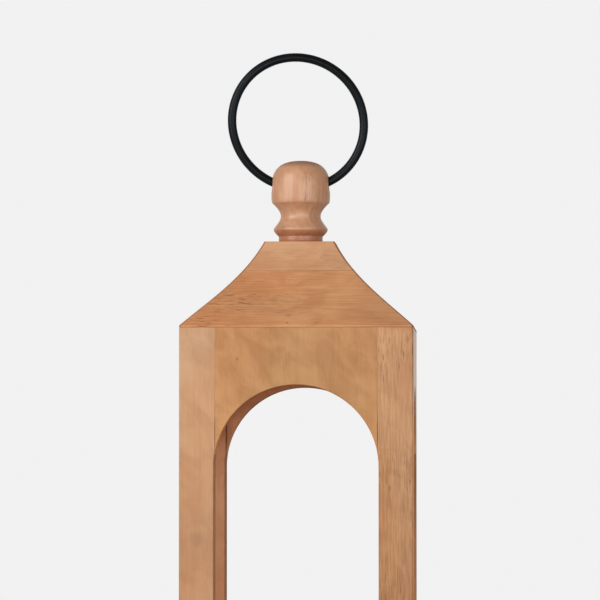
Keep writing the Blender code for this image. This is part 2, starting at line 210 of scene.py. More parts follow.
def quarter(steps):
    """Sine and cosine round a quarter turn, from zero to ninety degrees."""
    angles = (math.pi / 2 * step / steps for step in range(steps + 1))
    return [(math.sin(angle), math.cos(angle)) for angle in angles]


def rounded_square(half, radius, z, steps=CORNER_STEPS):
    points = []
    for corner in range(4):
        turn = Matrix.Rotation(math.pi / 2 * corner, 2)
        for sine, cosine in quarter(steps):
            flat = turn @ Vector((half - radius + radius * cosine, half - radius + radius * sine))
            points.append((flat.x, flat.y, z))
    return points


def bezier(start, pull_a, pull_b, end, count):
    points = interpolate_bezier(*(Vector(p) for p in (start, pull_a, pull_b, end)), count)
    return [(point.x, point.y) for point in points]


def boolean(obj, tools, operation="DIFFERENCE"):
    """Cuts closed meshes from obj, or joins them to it, for good, and removes them."""
    for tool in tools:
        modifier = obj.modifiers.new("Cut", "BOOLEAN")
        modifier.operation = operation
        modifier.solver = "EXACT"
        modifier.object = tool
    bpy.context.view_layer.update()
    evaluated = obj.evaluated_get(bpy.context.evaluated_depsgraph_get())
    mesh = bpy.data.meshes.new_from_object(evaluated)
    obj.modifiers.clear()
    obj.data = mesh
    for tool in tools:
        bpy.data.objects.remove(tool)


def bore(start, end, radius, sides=BORE_SIDES):
    """A closed cylinder from one point to another, to cut with."""
    start, end = Vector(start), Vector(end)
    along = end - start
    turn = along.to_track_quat("Z", "Y").to_matrix().to_4x4()
    bm = bmesh.new()
    bmesh.ops.create_cone(
        bm,
        cap_ends=True,
        segments=sides,
        radius1=radius,
        radius2=radius,
        depth=along.length,
        matrix=Matrix.Translation((start + end) / 2) @ turn,
    )
    return mesh_object("bore", bm)


def bores_for(fastener):
    """Bores with a little slack for a CAD dowel, rod or screw, which lies along X, Y or Z."""
    low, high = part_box(fastener)
    size = high - low
    axis = max(range(3), key=lambda index: size[index])
    start = (low + high) / 2
    end = start.copy()
    start[axis] = low[axis] - BORE_SLACK
    end[axis] = high[axis] + BORE_SLACK
    wide = min(size) / 2 + BORE_SLACK
    if not fastener.startswith("base_screw"):
        return [bore(start, end, wide)]
    recess = start + Vector((0, 0, SCREW_HEAD))
    return [bore(start - Vector((0, 0, SCREW_HEAD)), recess, wide), bore(start, end, SCREW_SHANK)]


def meets(node, other):
    """True where the boxes of two CAD nodes overlap."""
    (low, high), (other_low, other_high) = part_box(node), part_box(other)
    return all(low[axis] < other_high[axis] and other_low[axis] < high[axis] for axis in range(3))


def bore_out(piece, node):
    """Cuts the bores of all the fasteners that run into a CAD node from its fine piece."""
    for fastener in FASTENERS:
        if meets(node, fastener):
            boolean(piece, bores_for(fastener))


# ---------------------------------------------------------------- shape of an opening


def opening_half(z, offset):
    """Half the width of a wall's opening at a height, with its outline moved out by an offset."""
    if z > SPRING_Z:
        return math.sqrt(max((ARCH_RADIUS + offset) ** 2 - (z - SPRING_Z) ** 2, 0))
    if z > CORNER_Z:
        return ARCH_RADIUS + offset
    radius = OPENING_CORNER + offset
    if z <= CORNER_Z - radius:
        return 0.0
    return CORNER_X + math.sqrt(radius**2 - (CORNER_Z - z) ** 2)


def sill_z(across, offset):
    """Height of an opening's lower edge, with its outline moved out by an offset."""
    radius = OPENING_CORNER + offset
    beyond = abs(across) - CORNER_X
    if beyond <= 0:
        return CORNER_Z - radius
    return CORNER_Z - math.sqrt(radius**2 - beyond**2)


def post_ring(z, inset):
    """A level section of the front left post. inset draws the whole section in."""
    out = HALF - inset
    ring = []
    for sine, cosine in quarter(CORNER_STEPS):
        centre = -out + OUTER_ROUND
        ring.append((centre - OUTER_ROUND * cosine, centre - OUTER_ROUND * sine))
    rim = []
    for sine, cosine in quarter(RIM_STEPS):
        plain = INNER + JOINT_ROUND * (1 - sine)
        across = max(plain, opening_half(z, RIM_ROUND * (1 - sine))) + inset
        rim.append((-across, -out + RIM_ROUND * (1 - cosine)))
    ring += rim
    deep = max(INNER, opening_half(z, 0)) + inset
    for sine, cosine in quarter(CORNER_STEPS):
        centre = -deep - INNER_ROUND
        ring.append((centre + INNER_ROUND * cosine, centre + INNER_ROUND * sine))
    ring += [(y, x) for x, y in reversed(rim)]
    return [(x, y, z) for x, y in ring]


def spread(start, end, step):
    """Even heights from start up to, and not including, end."""
    count = max(1, round((end - start) / step))
    return [start + (end - start) * index / count for index in range(count)]


def post_rings():
    low, high = post_low.z, FIT_TOP
    heights = [(low, JOINT_ROUND), (low + JOINT_ROUND, 0)]
    corner_low, corner_high = RAIL_TOP - CORNER_REACH, CORNER_Z + SECTION_MARGIN
    levels = spread(low + SECTION_MARGIN, corner_low, FOOT_STEP)
    levels += spread(corner_low, corner_high, CORNER_STEP)
    levels += spread(corner_high, SPRING_Z, PLAIN_STEP)
    levels += spread(SPRING_Z, SPRING_Z + ARCH_REACH, ARCH_STEP)
    levels += spread(SPRING_Z + ARCH_REACH, high - SECTION_MARGIN, PLAIN_STEP)
    heights += [(z, 0) for z in levels]
    heights += [(high - JOINT_ROUND, 0), (high, JOINT_ROUND)]
    return [post_ring(z, inset) for z, inset in heights]


def board_ring(across, lower_z, upper_z, inset):
    """An upright section across a front board. lower_z and upper_z give its edges' heights."""
    face, back = -HALF + inset, -HALF + PANEL_THICK - inset
    rim = []
    for sine, cosine in quarter(RIM_STEPS):
        rim.append((RIM_ROUND * (1 - cosine), RIM_ROUND * (1 - sine)))
    ring = [(face + deep, lower_z(across, offset)) for deep, offset in rim]
    ring += [(back - deep, lower_z(across, offset)) for deep, offset in reversed(rim)]
    ring += [(back - deep, upper_z(across, offset)) for deep, offset in rim]
    ring += [(face + deep, upper_z(across, offset)) for deep, offset in reversed(rim)]
    return [(across, y, z) for y, z in ring]


def arch_z(across, offset):
    return SPRING_Z + math.sqrt((ARCH_RADIUS + offset) ** 2 - across**2)


def panel_rings():
    """Upright sections along a panel, closer together where the arch is steep."""
    tip = math.acos(FIT_HALF / ARCH_RADIUS)
    places = []
    for step in range(ARCH_STEPS + 1):
        angle = math.pi - tip - (math.pi - 2 * tip) * step / ARCH_STEPS
        places.append((ARCH_RADIUS * math.cos(angle), 0))
    places[0], places[-1] = (-FIT_HALF, JOINT_ROUND), (FIT_HALF, JOINT_ROUND)
    places.insert(1, (-FIT_HALF + JOINT_ROUND, 0))
    places.insert(-1, (FIT_HALF - JOINT_ROUND, 0))
    places.sort()
    joint = JOINT_ROUND / RIM_ROUND

    def top(_across, offset):
        return FIT_TOP - offset * joint

    return [board_ring(across, arch_z, top, inset) for across, inset in places]


def rail_rings():
    middle = spread(-CORNER_X, CORNER_X, RAIL_STEP)
    curve = spread(CORNER_X, FIT_HALF - JOINT_ROUND, CORNER_STEP)
    right = [(x, 0) for x in curve] + [(FIT_HALF - JOINT_ROUND, 0), (FIT_HALF, JOINT_ROUND)]
    left = [(-x, inset) for x, inset in reversed(right)]
    places = left + [(x, 0) for x in middle[1:]] + right
    joint = JOINT_ROUND / RIM_ROUND

    def bottom(_across, offset):
        return rail_low.z + offset * joint

    return [board_ring(across, bottom, sill_z, inset) for across, inset in places]


# ---------------------------------------------------------------- wood pieces


def make_posts():
    posts = {}
    for corner, turn in CORNERS.items():
        posts["post_" + corner] = mesh_object("fine_post_" + corner, loft(post_rings()), turn)
    return posts


def panel_mesh():
    """A panel whose ends fit tightly, apart from a stretch where its thin lower tips stand off."""
    bm = loft(panel_rings())
    tip_z = SPRING_Z + math.sqrt(ARCH_RADIUS**2 - FIT_HALF**2)
    end_x = FIT_HALF - 2 * JOINT_ROUND
    ends = [edge for edge in bm.edges if all(abs(vert.co.x) > end_x for vert in edge.verts)]
    tall = [edge for edge in ends if edge.calc_length() > TIP_LONG]
    bmesh.ops.subdivide_edges(bm, edges=tall, cuts=END_CUTS)
    for vert in bm.verts:
        if abs(vert.co.x) > end_x:
            share = min(max((vert.co.z - tip_z) / TIP_LONG, 0), 1)
            vert.co.x -= math.copysign(TIP_GAP * math.sin(math.pi * share), vert.co.x)
    return bm


def make_boards():
    boards = {}
    for wall, turn in WALLS.items():
        panel = mesh_object("fine_arch_panel_" + wall, panel_mesh(), turn)
        rail = mesh_object("fine_bottom_rail_" + wall, loft(rail_rings()), turn)
        boards["arch_panel_" + wall] = panel
        boards["bottom_rail_" + wall] = rail
    return boards


def field_ring(z, inset):
    """Plan of the base's raised field, which fills the floor between the posts and the rails."""
    wide, narrow = -rail_high.y - inset, INNER - inset
    corner = [(narrow, -wide), (narrow, -narrow), (wide, -narrow)]
    ring = []
    for quarter_turn in range(4):
        turn = Matrix.Rotation(math.pi / 2 * quarter_turn, 2)
        ring += [(*(turn @ Vector(point)), z) for point in corner]
    return ring


def make_base():
    """A board with rounded edges and a raised field that locates the frame."""
    ledge = post_low.z - GLUE
    rings = []
    for sine, cosine in quarter(FINE_STEPS):
        inset = JOINT_ROUND * (1 - sine)
        z = base_low.z + JOINT_ROUND * (1 - cosine)
        rings.append(rounded_square(HALF - inset, BASE_ROUND, z))
    for sine, cosine in quarter(BASE_STEPS):
        inset = BASE_ROUND * (1 - cosine)
        rings.append(rounded_square(HALF - inset, BASE_ROUND, ledge - BASE_ROUND * (1 - sine)))
    board = mesh_object("fine_base_board", loft(rings))
    rings = [field_ring((base_low.z + ledge) / 2, BORE_SLACK)]
    for sine, cosine in quarter(FINE_STEPS):
        inset = BORE_SLACK + BASE_EDGE * (1 - cosine)
        rings.append(field_ring(base_high.z - BASE_EDGE * (1 - sine), inset))
    boolean(board, [mesh_object("base_field", loft(rings))], "UNION")
    return {"base_board": board}


def roof_slope():
    """Half width and rise of the roof from the eave to the plateau."""
    crown_low = (PLATEAU_HALF, ROOF_RISE - PLATEAU_ROUND)
    slope = bezier((ROOF_HALF, EAVE_FACE), *ROOF_PULLS, crown_low, SLOPE_POINTS)
    eave = [
        (ROOF_HALF - EAVE_ROUND * (1 - sine), EAVE_ROUND * (1 - cosine))
        for sine, cosine in quarter(EAVE_STEPS)
    ]
    crown = [
        (PLATEAU_HALF - PLATEAU_ROUND * (1 - cosine), ROOF_RISE - PLATEAU_ROUND * (1 - sine))
        for sine, cosine in quarter(FINE_STEPS)
    ]
    return eave + slope[:-1] + crown


def half_at(slope, rise):
    """Half width of the roof at a rise."""
    for (half, low), (next_half, high) in zip(slope, slope[1:]):
        if low <= rise <= high and high > low:
            return half + (next_half - half) * (rise - low) / (high - low)
    return slope[-1][0]


def roof_rings(low, high, slope):
    """Level sections between two rises, with a fine edge beside the seam."""
    rows = [(half, rise) for half, rise in slope if low < rise < high]
    for rise, inward in ((low, 1), (high, -1)):
        if rise in (slope[0][1], slope[-1][1]):
            rows.append(next(row for row in slope if row[1] == rise))
            continue
        edge = rise + inward * SEAM_ROUND
        rows.append((half_at(slope, edge), edge))
        rows.append((half_at(slope, rise) - SEAM_ROUND, rise))
    rows.sort(key=lambda row: row[1])
    return [rounded_square(half, min(HIP_ROUND, half / 3), EAVE_Z + rise) for half, rise in rows]


def make_roof():
    slope = roof_slope()
    lower = mesh_object("fine_roof_lower_block", loft(roof_rings(0, SEAM_RISE, slope)))
    upper_rings = roof_rings(SEAM_RISE + GLUE, slope[-1][1], slope)
    upper = mesh_object("fine_roof_upper_block", loft(upper_rings))
    washer_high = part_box("finial_washer")[1]
    deep = Vector((0, 0, washer_high.z + BORE_SLACK))
    recess = bore((0, 0, EAVE_Z - NUT_ROOM), deep, washer_high.x + NUT_ROOM, RECESS_SIDES)
    boolean(lower, [recess])
    return {"roof_lower_block": lower, "roof_upper_block": upper}


def finial_outline():
    """Radius and height above the CAD finial's foot, from the foot to the top."""
    foot = [(COLLAR_RADIUS - FOOT_ROUND, COLLAR_LOW), (COLLAR_RADIUS, FOOT_ROUND)]
    under = bezier(*UNDER_CURVE, UNDER_POINTS)
    ridge = bezier(*RIDGE_CURVE, RIDGE_POINTS)
    waist = bezier(*WAIST_CURVE, WAIST_POINTS)
    cap_edge = bezier(*CAP_EDGE_CURVE, CAP_EDGE_POINTS)
    dome = bezier(*DOME_CURVE, DOME_POINTS)
    collar = [*foot, (COLLAR_RADIUS, COLLAR_MIDDLE), *under]
    return collar + ridge[1:] + waist[1:] + cap_edge[1:] + [(CAP_RADIUS, CAP_MIDDLE)] + dome


def make_finial():
    rings = []
    for radius, height in finial_outline():
        angles = (2 * math.pi * side / FINIAL_SIDES for side in range(FINIAL_SIDES))
        z = finial_low.z + height
        rings.append([(radius * math.cos(a), radius * math.sin(a), z) for a in angles])
    finial = mesh_object("fine_finial", loft(rings))
    reach = Vector((CAP_RADIUS * 1.5, 0, 0))
    hole = bore(HINGE - reach, HINGE + reach, HOLE_RADIUS, HOLE_SIDES)
    boolean(finial, [hole])
    return {"finial": finial}


def make_ring():
    """A closed oval of round rod, in the plane of X and Z."""
    long_axis = Vector((math.cos(RING_TILT), 0, -math.sin(RING_TILT)))
    short_axis = Vector((math.sin(RING_TILT), 0, math.cos(RING_TILT)))
    rings = []
    for index in range(RING_SECTIONS):
        angle = 2 * math.pi * index / RING_SECTIONS
        long, short = RING_LONG * math.cos(angle), RING_SHORT * math.sin(angle)
        centre = RING_CENTRE + long_axis * long + short_axis * short
        outward = long_axis * long / RING_LONG**2 + short_axis * short / RING_SHORT**2
        outward.normalize()
        section = []
        for side in range(ROD_SIDES):
            turn = 2 * math.pi * side / ROD_SIDES
            sideways = Vector((0, ROD_RADIUS * math.sin(turn), 0))
            section.append(centre + outward * ROD_RADIUS * math.cos(turn) + sideways)
        rings.append(section)
    ring = mesh_object("fine_ring_handle", loft(rings, capped=False, looped=True))
    soften(ring, NEVER_SHARP)
    return ring


# ---------------------------------------------------------------- materials

# Palest and darkest colours, linear
PANEL_COLOURS = (0.553, 0.295, 0.118), (0.398, 0.180, 0.060)
ROOF_COLOURS = (0.655, 0.322, 0.144), (0.480, 0.200, 0.079)
PALE_ROOF_COLOURS = (0.63, 0.345, 0.185), (0.53, 0.260, 0.125)
PINK_COLOURS = (0.588, 0.348, 0.194), (0.468, 0.252, 0.124)
TAN_COLOURS = (0.572, 0.300, 0.134), (0.388, 0.174, 0.064)
FINIAL_COLOURS = (0.600, 0.328, 0.182), (0.44, 0.196, 0.094)
BEECH_COLOURS = (0.66, 0.46, 0.27), (0.55, 0.36, 0.20)

# Darkest and palest colours of the metals and the felt, linear
BLACK_COLOURS = (0.0010, 0.0012, 0.0015), (0.0020, 0.0023, 0.0027)
ZINC_COLOURS = (0.44, 0.45, 0.45), (0.62, 0.62, 0.60)
FELT_COLOURS = (0.030, 0.027, 0.024), (0.085, 0.078, 0.070)

# Figure of the wood, in cycles per metre across (twice) and along the grain
STREAKS = (380, 380, 14)
FINE_STREAKS = (850, 850, 42)
WAVY_STREAKS = (520, 520, 26)
FIBRES = (1400, 1400, 60)
DASHES = (1000, 1000, 90)
CLUSTERS = (55, 55, 16)
MOTTLE = (60, 60, 26)
CLOUDS = (16, 16, 7)
WANDER = (9, 9, 2.2)
END_PORES = (1300, 1300, 1300)

# From where to where each noise sets in, out of its 0.25 to 0.75
STREAK_SPAN = (0.34, 0.68)
MOTTLE_SPAN = (0.32, 0.70)
CLOUD_SPAN = (0.35, 0.65)
RED_SPAN = (0.38, 0.62)
DASH_SPAN = (0.58, 0.68)
CLUSTER_SPAN = (0.42, 0.62)
PORE_SPAN = (0.35, 0.65)
TONE_SPAN = (0.22, 0.80)  # and the whole figure, out of its greatest sum

# Places where the noises are read, so that no two line up
SEED_SHIFT = (0.37, 0.61, 0.23)  # for each unit of a piece's seed
RED_SHIFT = (3.1, 8.2, 1.7)
DASH_SHIFT = (1.3, 4.1, 2.2)
CLUSTER_SHIFT = (5.5, 0.4, 6.1)

RING_SPACING = 0.006  # of the year rings
RING_WANDER = 0.022
WANDER_SHIFTS = (0.0, 7.3)
FIBRE_SHARE = 0.30  # weight of the fibres in the figure
CLOUD_SHARE = 0.4  # of the mottle's weight
MOTTLE_TURN = (0.5, 0.6, 0)  # the mottle runs a little across the grain
INNER_SPAN = (0.25, 0.55)  # from a face that looks inwards to one that looks outwards
PORE_COVER = 0.72  # least cover of the end grain's colour

# What makes wood duller than its own roughness
FIBRE_DULL = 0.16
DASH_DULL = 0.2
END_DULL = 0.45
INNER_DULL = 0.55
RELIEF_STRENGTH = 0.22
RELIEF_DEPTH = 0.00016

END_TINT = (0.66, 0.50, 0.44)  # end grain drinks more oil and goes darker
END_RING_SHARE = 0.4  # how far the year rings show on end grain
INNER_SHADE_RISE = 0.055  # painted shade: inner faces go darker over this height above an arch's foot
POST_INNER_SHADE = (0.93, 0.80, 0.81), (0.54, 0.40, 0.37)  # painted shade on inner faces, at the foot, and above that height
# Painted light on the panels' inner faces at the foot, and painted shade above that height
PANEL_INNER_LIGHT_AND_SHADE = (1.40, 1.18, 1.12), (1.06, 0.79, 0.72)
# Painted shade on the rails' inner faces and on those that look up or down
RAIL_INNER_SHADE = (0.95, 0.82, 0.78), (0.95, 0.82, 0.78)
POST_FADE = (EAVE_Z, EAVE_Z / 3, (0.89, 0.85, 0.77))  # the posts are darker towards the floor
RED_TINT = (1.0, 0.90, 0.84)
DASH_TINT = (0.45, 0.40, 0.38)
SPOT_TINT = (0.34, 0.26, 0.22)

GRAIN_TURN = {"Z": (0, 0, 0), "X": (0, math.pi / 2, 0), "Y": (math.pi / 2, 0, 0)}
AXES = {"X": (1, 0, 0), "Y": (0, 1, 0), "Z": (0, 0, 1)}


class Graph:
    """Short ways to add and join a material's nodes."""

    def __init__(self, name):
        self.material = bpy.data.materials.new(name)
        self.material.use_nodes = True
        self.nodes = self.material.node_tree.nodes
        self.links = self.material.node_tree.links
        self.shader = self.nodes["Principled BSDF"]
        coords = self.add("ShaderNodeTexCoord")
        self.coords, self.normal = coords.outputs["Object"], coords.outputs["Normal"]

    def add(self, kind, **settings):
        node = self.nodes.new(kind)
        for key, value in settings.items():
            setattr(node, key, value)
        return node

    def feed(self, socket, value):
        if isinstance(value, bpy.types.NodeSocket):
            self.links.new(value, socket)
        else:
            socket.default_value = value

    def math(self, operation, first, second=0.0):
        node = self.add("ShaderNodeMath", operation=operation)
        self.feed(node.inputs[0], first)
        self.feed(node.inputs[1], second)
        return node.outputs[0]

    def vector(self, operation, first, second=(0, 0, 0), result="Vector"):
        node = self.add("ShaderNodeVectorMath", operation=operation)
        self.feed(node.inputs[0], first)
        self.feed(node.inputs[1], second)
        return node.outputs[result]

    def split(self, vector):
        node = self.add("ShaderNodeSeparateXYZ")
        self.feed(node.inputs[0], vector)
        return node.outputs

    def place(self, vector, scale=(1, 1, 1), turn=(0, 0, 0), shift=(0, 0, 0)):
        node = self.add("ShaderNodeMapping")
        settings = {"Vector": vector, "Scale": scale, "Rotation": turn, "Location": shift}
        for key, value in settings.items():
            self.feed(node.inputs[key], value)
        return node.outputs[0]

    def noise(self, vector, scale, shift=(0, 0, 0), detail=2.0, rough=0.5, warp=0.0):
        """Noise from about 0.25 to 0.75, at a scale in cycles per metre along each axis."""
        node = self.add("ShaderNodeTexNoise")
        self.feed(node.inputs["Vector"], self.place(vector, scale, shift=shift))
        settings = {"Scale": 1.0, "Detail": detail, "Roughness": rough, "Distortion": warp}
        for key, value in settings.items():
            node.inputs[key].default_value = value
        return node.outputs["Fac"]

    def span(self, value, low, high, to_low=0.0, to_high=1.0, smooth=True):
        """A value taken from one span of numbers to another, and held at the ends."""
        node = self.add("ShaderNodeMapRange")
        node.interpolation_type = "SMOOTHSTEP" if smooth else "LINEAR"
        self.feed(node.inputs["Value"], value)
        ends = {"From Min": low, "From Max": high, "To Min": to_low, "To Max": to_high}
        for key, number in ends.items():
            node.inputs[key].default_value = number
        return node.outputs["Result"]

    def total(self, terms):
        """The sum of values, each times its weight."""
        weighted = [self.math("MULTIPLY", value, weight) for value, weight in terms]
        result = weighted[0]
        for term in weighted[1:]:
            result = self.math("ADD", result, term)
        return result

    def blend(self, factor, first, second, mode="MIX"):
        node = self.add("ShaderNodeMix", data_type="RGBA", blend_type=mode)
        self.feed(node.inputs["Factor"], factor)
        for key, value in (("A", first), ("B", second)):
            socket = next(s for s in node.inputs if s.name == key and s.type == "RGBA")
            self.feed(socket, value if isinstance(value, bpy.types.NodeSocket) else (*value, 1.0))
        return next(s for s in node.outputs if s.type == "RGBA")

    def bump(self, height, strength, distance):
        node = self.add("ShaderNodeBump")
        self.feed(node.inputs["Height"], height)
        node.inputs["Strength"].default_value = strength
        node.inputs["Distance"].default_value = distance
        return node.outputs["Normal"]


def tinted(colour, tint):
    return tuple(part * share for part, share in zip(colour, tint))


def growth_rings(g, along):
    """Waves from 0 to 1 round a far pith, which cross a face as long bands."""
    squares = []
    for place, shift in zip(g.split(along)[:2], WANDER_SHIFTS):
        wander = g.noise(along, WANDER, shift=(shift, shift, shift))
        moved = g.math("ADD", place, g.math("MULTIPLY", wander, RING_WANDER))
        squares.append(g.math("MULTIPLY", moved, moved))
    far = g.math("SQRT", g.math("ADD", *squares))
    wave = g.math("SINE", g.math("MULTIPLY", far, 2 * math.pi / RING_SPACING))
    return g.span(wave, -1.0, 1.0)


def inner_share(g):
    """1 on faces that look into the lantern or up and down, 0 on its outer sides."""
    outward = g.vector("NORMALIZE", g.vector("MULTIPLY", g.coords, (1, 1, 0)))
    return g.span(g.vector("DOT_PRODUCT", g.normal, outward, "Value"), *INNER_SPAN, 1.0, 0.0)


# What wood() makes where it isn't told otherwise
PLAIN_LOOK = {
    "bands": 0.15,  # weights of the parts of its figure
    "streaks": 0.3,
    "mottle": 0.3,
    "dashes": 0.3,
    "streak_scale": STREAKS,
    "dash_x": None,  # X places where the dark dashes are absent and in full
    "rough": 0.44,
    "gloss": 0.36,
    "end_span": (0.30, 0.85),  # how squarely a face cuts the grain, from side grain to end grain
    "inner_tints": None,  # painted light and shade for its inner faces, at an arch's foot and higher up
    "fade": None,  # two heights between which a tint sets in, and the tint
    "spots": (),  # dark marks, as place, size and strength
}


def figure_tone(g, along, fibre, mottling, year_rings, look):
    """0 on the palest wood and 1 on the darkest."""
    streak = g.noise(along, look["streak_scale"], detail=3.0, rough=0.6, warp=0.3)
    cloud = g.noise(along, CLOUDS, detail=1.0)
    terms = (
        (year_rings, look["bands"]),
        (g.span(streak, *STREAK_SPAN), look["streaks"]),
        (g.span(mottling, *MOTTLE_SPAN), look["mottle"] * (1 - CLOUD_SHARE)),
        (g.span(cloud, *CLOUD_SPAN), look["mottle"] * CLOUD_SHARE),
        (fibre, FIBRE_SHARE),
    )
    most = look["bands"] + look["streaks"] + look["mottle"] + FIBRE_SHARE
    return g.span(g.total(terms), *(most * share for share in TONE_SPAN), smooth=False)


def dark_dashes(g, along, look):
    """Short dark pores along the grain, in clusters."""
    dash = g.span(g.noise(along, DASHES, shift=DASH_SHIFT, detail=1.0), *DASH_SPAN)
    cluster = g.span(g.noise(along, CLUSTERS, shift=CLUSTER_SHIFT), *CLUSTER_SPAN)
    mark = g.math("MULTIPLY", g.math("MULTIPLY", dash, cluster), look["dashes"])
    if look["dash_x"]:
        mark = g.math("MULTIPLY", mark, g.span(g.split(g.coords)[0], *look["dash_x"]))
    return mark


def spotted(g, colour, dark, mottling, spots):
    """The colour with ragged dark marks, which fade out at their size from their place."""
    for place, size, strength in spots:
        gap = g.vector("DISTANCE", g.coords, place, "Value")
        raggedness = g.math("MULTIPLY", g.math("SUBTRACT", mottling, 0.5), size * 2)
        near = g.span(g.math("ADD", gap, raggedness), size * 0.2, size, strength, 0.0)
        colour = g.blend(near, colour, tinted(dark, SPOT_TINT))
    return colour


def end_share(g, grain, end_span):
    """1 where a face cuts the grain squarely, 0 along it, with pores between."""
    facing = g.math("ABSOLUTE", g.vector("DOT_PRODUCT", g.normal, AXES[grain], "Value"))
    pores = g.span(g.noise(g.coords, END_PORES), *PORE_SPAN, PORE_COVER, 1.0)
    return g.math("MULTIPLY", g.span(facing, *end_span), pores)


def wood(name, colours, grain, seed, **changes):
    """Oiled wood cut from a solid piece.

    colours are its palest and darkest wood, linear. grain is the axis of its fibres, and seed moves
    its figure about. changes are to PLAIN_LOOK.
    """
    g = Graph(name)
    light, dark = colours
    look = {**PLAIN_LOOK, **changes}
    shift = tuple(seed * part for part in SEED_SHIFT)
    along = g.place(g.coords, turn=GRAIN_TURN[grain], shift=shift)
    fibre = g.noise(along, FIBRES, rough=0.6)
    mottling = g.noise(g.place(along, turn=MOTTLE_TURN), MOTTLE, detail=3.0, warp=0.6)
    year_rings = growth_rings(g, along)
    colour = g.blend(figure_tone(g, along, fibre, mottling, year_rings, look), light, dark)
    reds = g.span(g.noise(along, CLOUDS, shift=RED_SHIFT), *RED_SPAN)
    colour = g.blend(reds, colour, RED_TINT, "MULTIPLY")
    mark = dark_dashes(g, along, look)
    colour = g.blend(mark, colour, tinted(dark, DASH_TINT))
    colour = spotted(g, colour, dark, mottling, look["spots"])
    end = end_share(g, grain, look["end_span"])
    pale_rings = g.math("MULTIPLY", year_rings, END_RING_SHARE)
    end_colour = g.blend(pale_rings, tinted(dark, END_TINT), tinted(light, END_TINT))
    colour = g.blend(end, colour, end_colour)

    dullness = [(fibre, FIBRE_DULL), (mark, DASH_DULL), (end, END_DULL)]
    height = g.split(g.coords)[2]
    # Painted shade on faces that look inwards, up or down, which deepens above an arch's foot; the
    # panels' tints also paint light at the foot
    if look["inner_tints"]:
        inner = inner_share(g)
        upper = g.span(height, SPRING_Z, SPRING_Z + INNER_SHADE_RISE, smooth=False)
        colour = g.blend(inner, colour, g.blend(upper, *look["inner_tints"]), "MULTIPLY")
        dullness.append((inner, INNER_DULL))
    # A tint between two heights: painted shade under the finial's ridge, and the posts darker
    # towards the floor
    if look["fade"]:
        start_z, end_z, tint = look["fade"]
        faded = g.span(height, start_z, end_z, smooth=False)
        colour = g.blend(faded, colour, tint, "MULTIPLY")
    g.feed(g.shader.inputs["Base Color"], colour)
    base_rough = look["rough"] - FIBRE_DULL / 2
    g.feed(g.shader.inputs["Roughness"], g.math("ADD", g.total(dullness), base_rough))
    relief = g.math("SUBTRACT", g.math("MULTIPLY", fibre, 0.5), mark)
    g.feed(g.shader.inputs["Normal"], g.bump(relief, RELIEF_STRENGTH, RELIEF_DEPTH))
    g.shader.inputs["Specular IOR Level"].default_value = look["gloss"]
    return g.material


def black_steel():
    """Powder-coated steel: near black and satin, with a fine skin and duller worn patches."""
    g = Graph("black_powder_coat")
    skin = g.noise(g.coords, (900, 900, 900))
    wear = g.span(g.noise(g.coords, (60, 60, 60), detail=4.0, rough=0.65), 0.45, 0.75)
    g.feed(g.shader.inputs["Base Color"], g.blend(wear, *BLACK_COLOURS))
    g.feed(g.shader.inputs["Roughness"], g.math("ADD", g.math("MULTIPLY", wear, 0.10), 0.32))
    g.feed(g.shader.inputs["Normal"], g.bump(skin, 0.06, 0.00008))
    g.shader.inputs["Specular IOR Level"].default_value = 0.20
    g.shader.inputs["Specular Tint"].default_value = (0.80, 0.91, 1.0, 1.0)
    return g.material


def zinc_steel():
    g = Graph("zinc_plated_steel")
    spangle = g.noise(g.coords, (420, 420, 420), detail=3.0, rough=0.6)
    tone = g.span(spangle, 0.35, 0.68)
    g.feed(g.shader.inputs["Base Color"], g.blend(tone, *ZINC_COLOURS))
    g.feed(g.shader.inputs["Roughness"], g.math("ADD", g.math("MULTIPLY", spangle, 0.25), 0.24))
    g.feed(g.shader.inputs["Normal"], g.bump(spangle, 0.15, 0.0001))
    g.shader.inputs["Metallic"].default_value = 1.0
    return g.material


def felt():
    g = Graph("pressed_felt")
    fuzz = g.noise(g.coords, (1600, 1600, 1600), detail=4.0, rough=0.7)
    fleck = g.noise(g.coords, (500, 500, 500))
    tone = g.span(g.total(((fuzz, 1.0), (fleck, 0.5))), 0.55, 0.95)
    g.feed(g.shader.inputs["Base Color"], g.blend(tone, *FELT_COLOURS))
    g.shader.inputs["Roughness"].default_value = 0.95
    g.shader.inputs["Sheen Weight"].default_value = 0.35
    g.feed(g.shader.inputs["Normal"], g.bump(fuzz, 0.6, 0.0004))
    return g.material


# ---------------------------------------------------------------- stage

FLOOR_RADIUS = 3.4
FLOOR_COLOUR = (0.78, 0.78, 0.78, 1.0)
WALL_COLOUR = (0.885, 0.885, 0.885, 1.0)
SKY_COLOUR = (1.0, 0.99, 0.975, 1.0)
SKY_SPAN = (0.6, 0.95)  # from a way that looks aside to one that looks straight back
SKY_STRENGTHS = (0.34, 0.90)

# Soft lights: azimuth and elevation in degrees, distance, (width, height), and power in watts
LIGHTS = {
    "key_light": (-46, 20, 2.3, (1.7, 1.5), 33),
    "fill_light": (40, 8, 2.5, (1.0, 1.2), 9),
    "front_light": (8, -1, 3.2, (1.2, 0.8), 18),
}
LIGHT_AIM_Z = 0.42

CAMERA_DISTANCE = 4.004
CAMERA_TURN = math.radians(2.34)
CAMERA_LENS = 261.3
CAMERA_Z = EAVE_Z - 0.1054
CAMERA_AIM = Vector((-0.0007, 0, CAMERA_Z + 0.1333))


def make_floor():
    bm = bmesh.new()
    bmesh.ops.create_circle(bm, cap_ends=True, radius=FLOOR_RADIUS, segments=FLOOR_SIDES)
    floor = mesh_object("floor", bm)
    g = Graph("pale_floor")
    g.shader.inputs["Base Color"].default_value = FLOOR_COLOUR
    g.shader.inputs["Roughness"].default_value = 0.9
    floor.data.materials.append(g.material)


